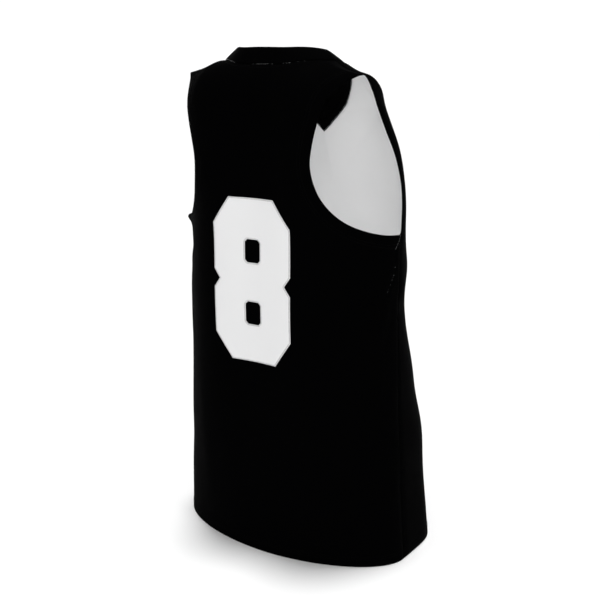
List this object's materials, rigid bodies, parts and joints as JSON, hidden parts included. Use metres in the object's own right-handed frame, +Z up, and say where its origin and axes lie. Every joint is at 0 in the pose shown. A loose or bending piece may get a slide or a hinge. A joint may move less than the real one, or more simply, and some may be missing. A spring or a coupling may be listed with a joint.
{
  "type": "volleyball jersey",
  "caption": "Sleeveless V-neck sports jersey, hollow as if worn, with deep-cut armholes, a doubled rib neckband and a block number on the back.",
  "frame": {"origin": "midway between the neck ends of the two shoulder seams, where the wearer's shoulders carry the garment", "axes": "+Z up along the wearer's height, the front faces -Y, the back faces +Y, and the wearer's right side is towards -X"},
  "size_m": [0.3352, 0.2546, 0.6379],
  "materials": {
    "jersey_knit": "matt black polyester knit with a white reverse",
    "rib_knit": "matt black rib, folded double",
    "number_twill": "matt white applied cloth"
  },
  "bodies": {
    "root": {"front_panel": "jersey_knit", "back_panel": "jersey_knit", "neckband": "rib_knit", "back_number": "number_twill"}
  },
  "joints": []
}
